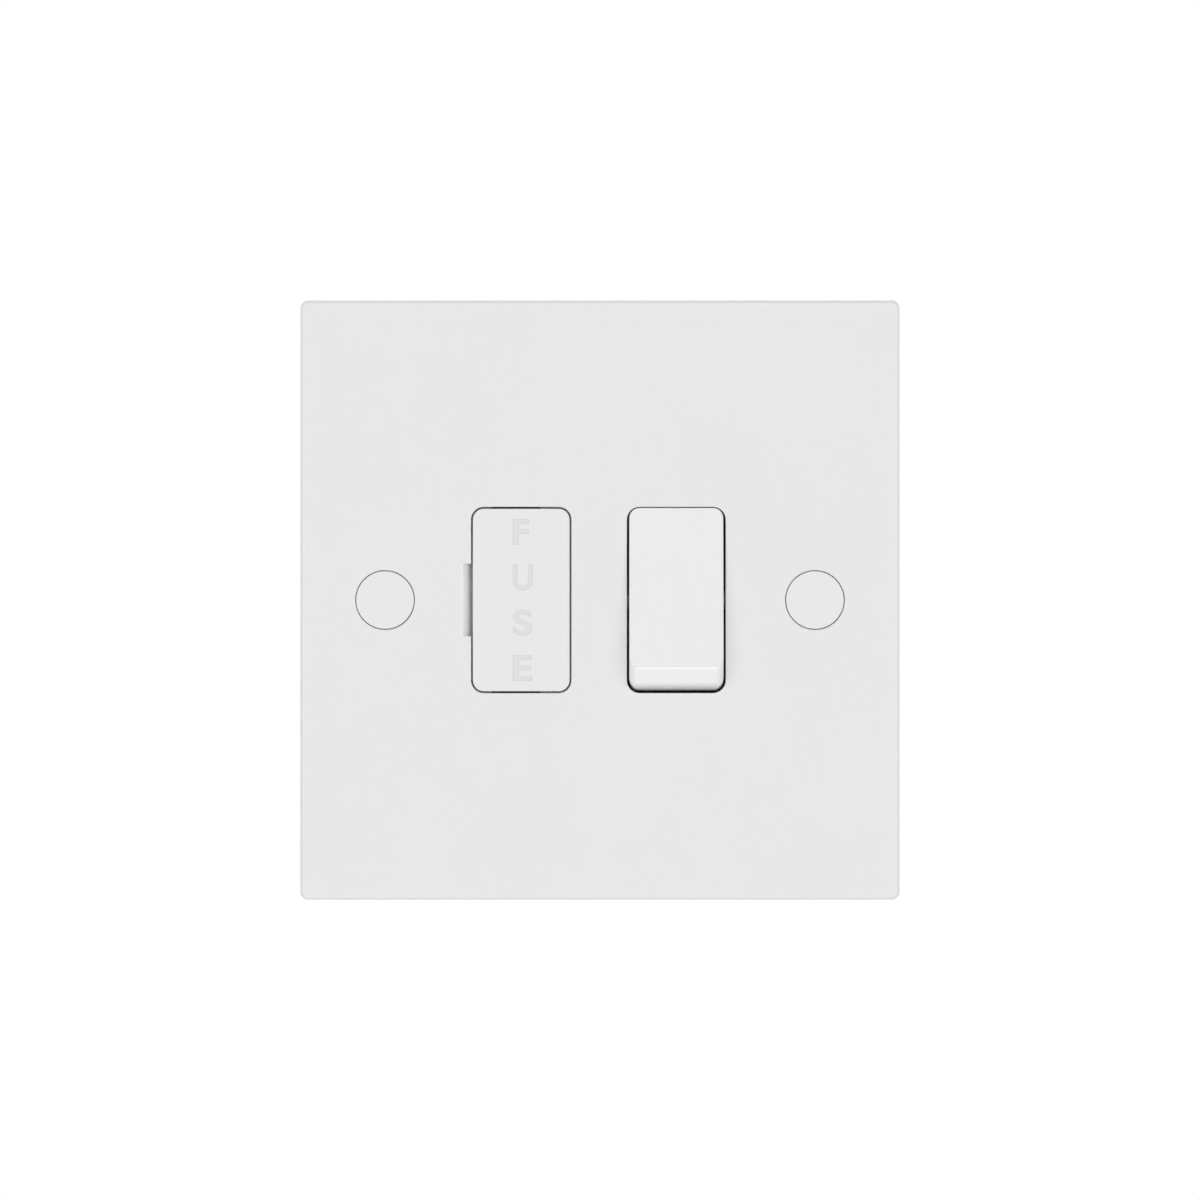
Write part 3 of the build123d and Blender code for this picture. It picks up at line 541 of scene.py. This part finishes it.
@dataclass
class FuseCarrier:
    """Pull-out carrier with the function word cut into its face, one letter under the other."""

    node: str = "fuse_carrier"
    word: str = "FUSE"
    letter_height: float = 3.58 * MM
    letter_widths: tuple[float, ...] = (2.27 * MM, 2.82 * MM, 2.70 * MM, 2.68 * MM)
    letter_pitch: float = 6.36 * MM
    left_edge: float = -1.17 * MM
    stroke_gain_em: float = 0.018
    wall_lean_em: float = 0.004
    straight_em: float = 0.1
    curve_steps: int = 6
    merge_em: float = 1e-5
    depth: float = 0.15 * MM
    overlap: float = 0.01 * MM
    face_depth: float = 1.5 * MM

    def outline(self, letter: str) -> bmesh.types.BMesh:
        """Solid of one letter as the type gives it, with walls that lean in on both sides.

        Args:
            letter: The letter.

        Returns:
            A closed solid in ems, lying in the XY plane.
        """
        text = bpy.data.curves.new("letter", "FONT")
        text.body = letter
        text.offset = self.stroke_gain_em
        text.extrude = self.straight_em
        text.bevel_depth = self.wall_lean_em
        text.bevel_resolution = 0
        text.resolution_u = self.curve_steps
        holder = bpy.data.objects.new("letter", text)
        bpy.context.collection.objects.link(holder)
        shape = bmesh.new()
        shape.from_mesh(baked(holder))
        bpy.data.objects.remove(holder)
        bmesh.ops.remove_doubles(shape, verts=shape.verts, dist=self.merge_em)
        return shape

    def cutter(self, index: int) -> bmesh.types.BMesh:
        """Cutter for one letter, in place.

        Args:
            index: Which letter of the word.

        Returns:
            A closed solid that reaches from in front of the face to the floor of the letter.
        """
        shape = self.outline(self.word[index])
        low, high = corners(shape.verts)
        size = high - low
        face_low, face_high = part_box(self.node)
        step = (len(self.word) - 1) / 2 - index
        left = self.face_middle() + self.left_edge
        base = (face_low.z + face_high.z) / 2 + step * self.letter_pitch - self.letter_height / 2
        stretch = (
            self.letter_widths[index] / size.x,
            self.letter_height / size.y,
            (self.depth + self.overlap) / self.wall_lean_em,
        )
        bmesh.ops.translate(shape, vec=-low, verts=shape.verts)
        bmesh.ops.scale(shape, vec=stretch, verts=shape.verts)
        bmesh.ops.rotate(shape, matrix=Matrix.Rotation(math.radians(90), 3, "X"), verts=shape.verts)
        bmesh.ops.translate(shape, vec=(left, face_low.y + self.depth, base), verts=shape.verts)
        bmesh.ops.recalc_face_normals(shape, faces=shape.faces)
        return shape

    def face_middle(self) -> float:
        """Find the middle of the flush face across the carrier, without the hook behind it.

        Returns:
            Its X.
        """
        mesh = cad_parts[self.node].data
        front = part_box(self.node)[0].y
        across = [v.co.x for v in mesh.vertices if v.co.y < front + self.face_depth]
        return (min(across) + max(across)) / 2

    def keep_flat(self, carrier: Object) -> None:
        """Shade the walls and floors of the letters flat, so that the face round them stays even.

        Args:
            carrier: Carrier with the word cut into it.
        """
        low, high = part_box(self.node)
        middle = Vector((self.face_middle(), low.y, (low.z + high.z) / 2))
        half_word = ((len(self.word) - 1) * self.letter_pitch + self.letter_height) / 2
        for face in carrier.data.polygons:
            place = face.center - middle
            inside = abs(place.x) < self.letter_height and abs(place.z) < half_word
            if inside and self.overlap < place.y + self.overlap < 2 * self.depth:
                face.use_smooth = False

    def build(self) -> Object:
        """Cut the word into a copy of the carrier, which then stands for it.

        Returns:
            The carrier.
        """
        carrier = new_object("fuse_carrier_engraved", merged_copy(self.node))
        carrier.data.materials.clear()
        carrier.data.materials.append(FITTING_PC.material())
        for index in range(len(self.word)):
            # The floor and walls of each letter get painted shade: a greyer colour that stands for the
            # shade in the recess.
            carve(carrier, self.cutter(index), LETTER_PC_PAINTED_SHADE.material())
        smooth(carrier)
        self.keep_flat(carrier)
        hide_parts(self.node)
        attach(carrier, Body.CARRIER.value)
        LOG.info("%s: %s cut %.2f mm deep", self.node, self.word, self.depth / MM)
        return carrier


@dataclass
class FuseLink:
    """Cartridge fuse in the carrier, with the clips that grip it."""

    body: str = "fuse_body"
    caps: tuple[str, str] = ("fuse_cap_upper", "fuse_cap_lower")
    clips: tuple[str, str] = ("fuse_clip_upper", "fuse_clip_lower")

    def dress(self) -> None:
        """Finish the ceramic, the caps and the clips."""
        dress(self.body, FUSE_STEATITE.material())
        nickel, bronze = CAP_NICKEL.material(), CLIP_BRONZE.material()
        for cap in self.caps:
            dress(cap, nickel)
        for clip in self.clips:
            dress(clip, bronze)


@dataclass
class RockerSwitch:
    """Rocker with its plungers, springs and the contacts that it works."""

    rocker: str = "rocker"
    poles: tuple[str, str] = ("live", "neutral")
    ridge_radius: float = 0.8 * MM
    ridge_facets: int = 10
    cutter_reach: float = 0.5 * MM
    least_front: float = 0.8
    least_slope: float = 0.2

    def ridge_planes(self) -> tuple[bpy.types.MeshPolygon, bpy.types.MeshPolygon]:
        """Find the planes that meet in the ridge.

        Returns:
            The largest facet of the face, which looks up, and of the nose, which looks down.
        """
        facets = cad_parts[self.rocker].data.polygons
        front = [facet for facet in facets if facet.normal.y < -self.least_front]
        upper = [facet for facet in front if facet.normal.z > 0]
        lower = [facet for facet in front if facet.normal.z < -self.least_slope]
        return max(upper, key=lambda facet: facet.area), max(lower, key=lambda facet: facet.area)

    def ridge_cutter(self) -> bmesh.types.BMesh:
        """Solid that lies outside the rounded ridge.

        Returns:
            A closed solid along the whole ridge, with the rounding as its inner side.
        """
        planes = self.ridge_planes()
        face, nose = [plane.normal.copy() for plane in planes]
        reach = Vector(plane.normal.dot(plane.center) - self.ridge_radius for plane in planes)
        centre = Matrix((face.yz, nose.yz)).inverted() @ reach
        middle = Vector((0.0, centre.x, centre.y))
        low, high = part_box(self.rocker)
        tool = bmesh.new()
        near = middle + face * self.ridge_radius
        far = near + face * self.cutter_reach
        ends = [(low.x, near), (high.x, near), (high.x, far), (low.x, far)]
        start = tool.faces.new([tool.verts.new((x, place.y, place.z)) for x, place in ends])
        bmesh.ops.spin(
            tool, geom=[start, *start.edges, *start.verts], cent=middle, axis=(1.0, 0.0, 0.0),
            angle=face.angle(nose), steps=self.ridge_facets, use_duplicate=False,
        )
        bmesh.ops.recalc_face_normals(tool, faces=tool.faces)
        return tool

    def build_rocker(self) -> Object:
        """Round the ridge of a copy of the rocker, which then stands for it.

        Returns:
            The rocker.
        """
        rocker = new_object("rocker_rounded", merged_copy(self.rocker))
        rocker.data.materials.clear()
        rocker.data.materials.append(FITTING_PC.material())
        carve(rocker, self.ridge_cutter(), FITTING_PC.material())
        smooth(rocker)
        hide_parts(self.rocker)
        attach(rocker, Body.ROCKER.value)
        LOG.info("%s: ridge rounded to %.1f mm", self.rocker, self.ridge_radius / MM)
        return rocker

    def build_spring(self, pole: str) -> Object:
        """Make the spring of one pole, a copy that rides on the rocker.

        Args:
            pole: Which pole of the switch.

        Returns:
            The spring.
        """
        node = f"plunger_spring_{pole}"
        coil = merged_copy(node)
        spring = new_object(node + "_coil", coil)
        spring.data.materials.clear()
        spring.data.materials.append(SPRING_STEEL.material())
        smooth(spring)
        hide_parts(node)
        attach(spring, Body.ROCKER.value)
        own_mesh(spring)
        return spring

    def build(self) -> None:
        """Build rocker and springs, and finish the contact gear of both poles."""
        self.build_rocker()
        nylon, copper, silver = PLUNGER_NYLON.material(), LEVER_COPPER.material(), TIP_SILVER.material()
        for pole in self.poles:
            self.build_spring(pole)
            dress(f"plunger_{pole}", nylon)
            dress(f"moving_contact_{pole}", copper)
            dress(f"moving_tip_{pole}", silver)
            dress(f"fixed_tip_{pole}", silver)


@dataclass
class RearBase:
    """Moulded base with its strips and terminals."""

    base: str = "rear_base"
    strips: tuple[str, ...] = (
        "supply_live_strip", "supply_neutral_strip", "live_link_strip",
        "load_live_strip", "load_neutral_strip", "earth_strap",
    )
    rows: tuple[str, str] = ("supply", "load")
    cores: tuple[str, str, str] = ("earth", "live", "neutral")
    edge_width: float = 0.18 * MM
    edge_facets: int = 2

    def dress(self) -> None:
        """Finish base, strips and terminals."""
        dress(self.base, BASE_NYLON.material())
        soften(self.base, self.edge_width, self.edge_facets)
        strip, block = STRIP_BRASS.material(), TERMINAL_BRASS.material()
        for name in self.strips:
            dress(name, strip)
        for row in self.rows:
            for core in self.cores:
                dress(f"{row}_{core}_terminal", block)


@dataclass
class ScrewSet:
    """Slotted screws of one node: their heads as they are, on shanks that get a real thread."""

    node: str
    slot: str
    finish: WorkedMetal
    pitch: float
    thread_depth: float
    lead_in: float
    root: float = 0.1 * MM
    facets: int = 28
    rows_per_turn: int = 8

    def shank(self, mesh: bmesh.types.BMesh, axis: Vector, radius: float, tip: float, end: float) -> None:
        """Add one threaded shank, a closed form along Y.

        Args:
            mesh: Shape that gets the shank.
            axis: Any point on the screw's axis.
            radius: Radius over the crests of the thread.
            tip: Y of the free end.
            end: Y where the shank ends inside the head.
        """
        count = math.ceil((end - tip) / self.pitch * self.rows_per_turn)
        rings = []
        for row in range(count + 1):
            along = (end - tip) * row / count
            thin = self.thread_depth * max(0.0, 1 - along / self.lead_in)
            ring = []
            for facet in range(self.facets):
                turn = facet / self.facets
                flank = abs(2 * ((along / self.pitch - turn) % 1) - 1)
                reach = radius - thin - (self.thread_depth - thin) * flank
                angle = 2 * math.pi * turn
                place = (axis.x + reach * math.cos(angle), tip + along, axis.z + reach * math.sin(angle))
                ring.append(mesh.verts.new(place))
            rings.append(ring)
        for low, high in zip(rings, rings[1:]):
            for k in range(self.facets):
                after = (k + 1) % self.facets
                mesh.faces.new((low[k], low[after], high[after], high[k]))
        mesh.faces.new(rings[0])
        mesh.faces.new(rings[-1])

    def build(self) -> Object:
        """Cut the plain shanks off a copy of the node, close the heads and add threaded shanks.

        Returns:
            The screws.
        """
        mesh = merged_copy(self.node)
        for screw in islands(mesh):
            low, high = corners(screw)
            tip = low.y
            axis = (low + high) / 2
            radius = max(from_axis(v, axis) for v in screw if v.co.y < tip + self.root)
            head = min(v.co.y for v in screw if from_axis(v, axis) > radius + self.root)
            plain = [v for v in screw if v.co.y < head - self.root]
            bmesh.ops.delete(mesh, geom=plain, context="VERTS")
            self.shank(mesh, axis, radius, tip, head + self.root)
        bmesh.ops.holes_fill(mesh, edges=[e for e in mesh.edges if e.is_boundary])
        bmesh.ops.recalc_face_normals(mesh, faces=mesh.faces)
        screws = new_object(self.node + "_threaded", mesh)
        smooth(screws)
        screws.data.materials.append(self.finish.material())
        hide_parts(self.node)
        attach(screws, Body.UNIT.value)
        LOG.info("%s: thread of %.2f mm pitch", self.node, self.pitch / MM)
        return screws


@dataclass
class Softbox:
    """Rectangular studio lamp that looks at one point, or a card that only some pieces reflect."""

    name: str
    place: tuple[float, float, float]
    size: tuple[float, float]
    watts: float
    sheen_on: tuple[str, ...] = ()
    target: tuple[float, float, float] = (0.0, 0.0, 0.0)

    def build(self) -> Object:
        """Make the lamp.

        Returns:
            The lamp, already linked.
        """
        lamp = bpy.data.lights.new(self.name, "AREA")
        lamp.shape = "RECTANGLE"
        lamp.size, lamp.size_y = self.size
        lamp.energy = self.watts
        made = bpy.data.objects.new(self.name, lamp)
        made.location = self.place
        aim = Vector(self.target) - Vector(self.place)
        made.rotation_euler = aim.to_track_quat("-Z", "Y").to_euler()
        made.visible_camera = False
        bpy.context.collection.objects.link(made)
        if self.sheen_on:
            made.visible_diffuse = False
            shown = bpy.data.collections.new(self.name + "_pieces")
            for piece in self.sheen_on:
                shown.objects.link(bpy.data.objects[piece])
            made.light_linking.receiver_collection = shown
        return made


@dataclass
class Studio:
    """Square-on camera with a long lens, soft light, white surroundings and a pale floor."""

    frame_width: float = 168.3 * MM
    distance: float = 1.0
    sensor_mm: float = 36.0
    ambient: float = 0.50
    floor_colour: str = "#EDEDEB"
    floor_roughness: float = 0.9
    floor_drop: float = 600 * MM
    floor_forward: float = 20 * MM
    floor_size: float = 1.60
    lamps: tuple[Softbox, ...] = (
        Softbox("key_left", (-0.70, -0.90, 0.10), (0.60, 0.70), 2.25),
        Softbox("key_right", (0.70, -0.90, 0.10), (0.60, 0.70), 2.25),
        Softbox("front_top", (0.0, -1.00, 0.45), (0.60, 0.30), 1.34),
        Softbox("low_front", (0.0, -0.52, -0.58), (0.80, 0.36), 0.90),
        Softbox("ridge_card", (0.0, -0.69, -0.40), (0.20, 0.10), 1.20, sheen_on=("rocker_rounded",)),
        Softbox("rear_key", (-0.40, 0.90, 0.55), (1.20, 1.20), 4.60),
        Softbox("rear_fill", (0.60, 1.00, -0.10), (0.90, 1.00), 2.70),
    )

    def camera(self) -> Object:
        """Set the camera square on to the plate, with the photograph's framing.

        Returns:
            The camera.
        """
        front = CAD_BOX[0].y
        plate_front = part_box("front_plate")[0].y
        lens = bpy.data.cameras.new("camera")
        lens.sensor_width = self.sensor_mm
        lens.lens = lens.sensor_width * (self.distance + plate_front - front) / self.frame_width
        made = bpy.data.objects.new("camera", lens)
        made.location = (0.0, front - self.distance, 0.0)
        made.rotation_euler = (math.radians(90), 0.0, 0.0)
        bpy.context.collection.objects.link(made)
        bpy.context.scene.camera = made
        return made

    def seen(self, tree: bpy.types.NodeTree) -> Socket:
        """Tell what is looked at, straight or in a reflection, from what only gives light.

        Args:
            tree: Node tree of the world or of the floor.

        Returns:
            A socket that is one where it is looked at and zero elsewhere.
        """
        rays = add_node(tree, "ShaderNodeLightPath", {}).outputs
        direct = add_node(
            tree, "ShaderNodeMath",
            {0: rays["Is Camera Ray"], 1: rays["Is Transmission Ray"]}, operation="MAXIMUM",
        ).outputs["Value"]
        return add_node(
            tree, "ShaderNodeMath", {0: direct, 1: rays["Is Glossy Ray"]}, operation="MAXIMUM",
        ).outputs["Value"]

    def world(self) -> None:
        """Make the surroundings: white where looked at, a softer level as light on the object."""
        world = bpy.data.worlds.new("studio")
        world.use_nodes = True
        tree = world.node_tree
        level = add_node(
            tree, "ShaderNodeMapRange", {"Value": self.seen(tree), "To Min": self.ambient, "To Max": 1.0},
        ).outputs["Result"]
        shade = tree.nodes["Background"]
        shade.inputs["Color"].default_value = linear(WHITE)
        tree.links.new(level, shade.inputs["Strength"])
        bpy.context.scene.world = world

    def floor(self) -> Object:
        """Make a pale matt floor below the picture, white like the surroundings where it is looked at.

        Returns:
            The floor.
        """
        sheet = bmesh.new()
        bmesh.ops.create_grid(sheet, x_segments=1, y_segments=1, size=self.floor_size / 2)
        place = (0.0, -self.floor_forward, CAD_BOX[0].z - self.floor_drop)
        bmesh.ops.translate(sheet, vec=place, verts=sheet.verts)
        made = new_object("floor", sheet)
        material, tree, shader = new_material("floor_paper_pale")
        shader.inputs["Base Color"].default_value = linear(self.floor_colour)
        shader.inputs["Roughness"].default_value = self.floor_roughness
        white = add_node(tree, "ShaderNodeEmission", {"Color": linear(WHITE), "Strength": 1.0})
        mixed = add_node(
            tree, "ShaderNodeMixShader",
            {0: self.seen(tree), 1: shader.outputs["BSDF"], 2: white.outputs["Emission"]},
        )
        tree.links.new(mixed.outputs["Shader"], tree.nodes["Material Output"].inputs["Surface"])
        made.data.materials.append(material)
        return made

    def build(self) -> None:
        """Make camera, lamps, surroundings and floor."""
        self.camera()
        for lamp in self.lamps:
            lamp.build()
            LOG.info("lamp %s", lamp.name)
        self.world()
        self.floor()
        bpy.context.scene.view_settings.view_transform = "Standard"


def main() -> None:
    """Build and dress the unit, then its studio."""
    logging.basicConfig(level=logging.INFO, format="%(message)s")
    FrontPlate().dress()
    FuseCarrier().build()
    FuseLink().dress()
    RockerSwitch().build()
    RearBase().dress()
    ScrewSet(
        "terminal_screws", "brass_screw", SCREW_BRASS,
        pitch=0.6 * MM, thread_depth=0.3 * MM, lead_in=0.6 * MM,
    ).build()
    ScrewSet(
        "base_screws", "zinc_screw", SCREW_ZINC,
        pitch=1.06 * MM, thread_depth=0.32 * MM, lead_in=1.6 * MM,
    ).build()
    Studio().build()


if __name__ == "__main__":
    main()
